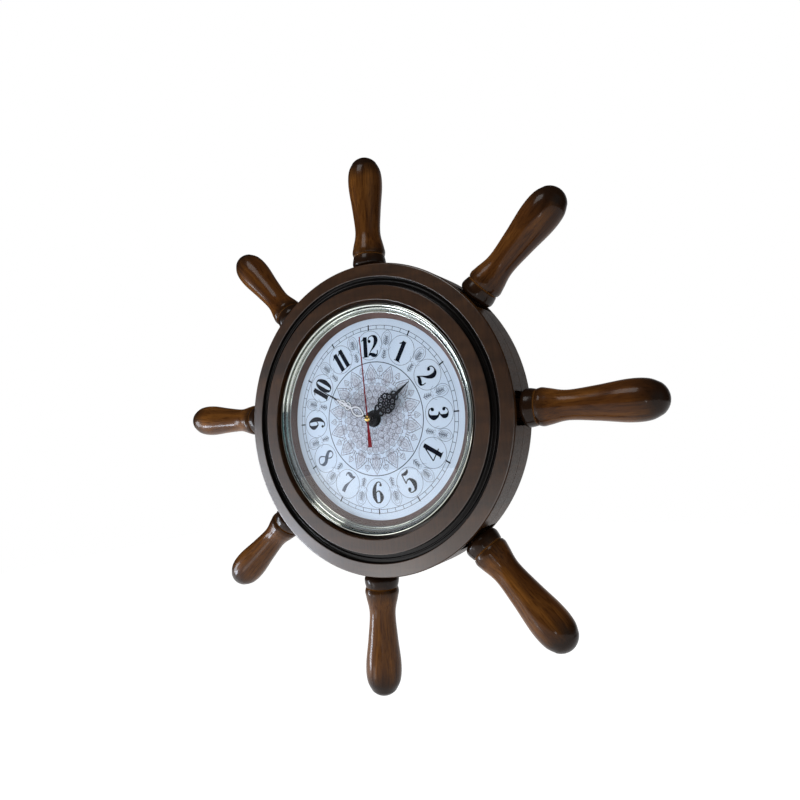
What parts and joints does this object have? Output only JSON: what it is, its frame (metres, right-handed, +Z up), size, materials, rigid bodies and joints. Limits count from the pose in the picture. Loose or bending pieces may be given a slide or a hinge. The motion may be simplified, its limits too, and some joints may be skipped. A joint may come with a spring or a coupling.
{
  "type": "wall clock",
  "caption": "Ship's wheel wall clock: round moulded wooden case with turned handles, metal bezel, domed glass, printed twelve-hour dial, three hands and a battery movement.",
  "frame": {"origin": "centre of the hanging hole, in the plane of the wall", "axes": "+Z up, +Y into the wall, the dial faces -Y"},
  "size_m": [0.4496, 0.0387, 0.4498],
  "materials": {
    "dark_wood": "dark brown stain under satin lacquer",
    "walnut": "turned, red-brown stain under gloss lacquer",
    "steel": "zinc plated",
    "nickel": "nickel plated",
    "dial_enamel": "matt bluish white with black and grey print",
    "brown_surround": "gloss brown",
    "clear_glass": "clear polished",
    "chrome": "polished",
    "black_rubber": "matt",
    "brass_plate": "polished",
    "black_plastic": "fine moulded grain",
    "white_plastic": "smooth moulding",
    "knob_plastic": "ribbed moulding",
    "battery_jacket": "gloss wrap, plain",
    "copper_wire": "lacquered wire",
    "board_green": "solder mask",
    "magnet_grey": "sintered",
    "black_enamel": "gloss black",
    "red_enamel": "satin red"
  },
  "bodies": {
    "root": {"front_board": "dark_wood", "rear_ring": "dark_wood", "handle_1": "walnut", "handle_2": "walnut", "handle_3": "walnut", "handle_4": "walnut", "handle_5": "walnut", "handle_6": "walnut", "handle_7": "walnut", "handle_8": "walnut", "hanger_plate": "steel", "hanger_screws": "steel", "board_screws": "steel", "dial_plate": "dial_enamel", "dial_surround": "brown_surround", "glass": "clear_glass", "bezel_insert": "chrome", "bezel": "chrome", "rubber_washer": "black_rubber", "plain_washer": "brass_plate", "fixing_nut": "brass_plate", "movement_case": "black_plastic", "movement_cover": "black_plastic", "train_bridge": "white_plastic", "battery": "battery_jacket", "contact_minus": "nickel", "contact_plus": "nickel", "stator": "nickel", "coil_bobbin": "white_plastic", "coil_winding": "copper_wire", "circuit_board": "board_green", "quartz_crystal": "nickel"},
    "rotor": {"rotor_pinion": "white_plastic", "rotor_magnet": "magnet_grey"},
    "intermediate": {"intermediate_wheel": "white_plastic"},
    "seconds": {"second_wheel": "white_plastic", "second_hand": "red_enamel", "hand_cap": "brass_plate"},
    "third": {"third_wheel": "white_plastic"},
    "minutes": {"centre_wheel": "white_plastic", "minute_hand": "black_enamel"},
    "motion": {"motion_wheel": "white_plastic", "setting_knob": "knob_plastic"},
    "hours": {"hour_wheel": "white_plastic", "hour_hand": "black_enamel"}
  },
  "joints": [
    {"name": "minute_turn", "type": "hinge", "parent": "root", "child": "minutes", "pos_m": [0, 0, -0.074], "axis": [0, 1, 0], "continuous": true},
    {"name": "hour_turn", "type": "hinge", "parent": "root", "child": "hours", "pos_m": [0, 0, -0.074], "axis": [0, 1, 0], "continuous": true},
    {"name": "second_turn", "type": "hinge", "parent": "root", "child": "seconds", "pos_m": [0, 0, -0.074], "axis": [0, 1, 0], "continuous": true},
    {"name": "motion_turn", "type": "hinge", "parent": "root", "child": "motion", "pos_m": [-0.012, 0, -0.074], "axis": [0, 1, 0], "continuous": true},
    {"name": "third_turn", "type": "hinge", "parent": "root", "child": "third", "pos_m": [0.00576, 0, -0.06402], "axis": [0, 1, 0], "continuous": true},
    {"name": "intermediate_turn", "type": "hinge", "parent": "root", "child": "intermediate", "pos_m": [-0.00694, 0, -0.06573], "axis": [0, 1, 0], "continuous": true},
    {"name": "rotor_turn", "type": "hinge", "parent": "root", "child": "rotor", "pos_m": [-0.00694, 0, -0.05698], "axis": [0, 1, 0], "continuous": true}
  ],
  "couplings": [
    {"joint": "hour_turn", "follows": "minute_turn", "ratio": 0.083333},
    {"joint": "second_turn", "follows": "minute_turn", "ratio": 60},
    {"joint": "motion_turn", "follows": "minute_turn", "ratio": -0.33333},
    {"joint": "third_turn", "follows": "minute_turn", "ratio": -7.5},
    {"joint": "intermediate_turn", "follows": "minute_turn", "ratio": -300},
    {"joint": "rotor_turn", "follows": "minute_turn", "ratio": 1800}
  ]
}
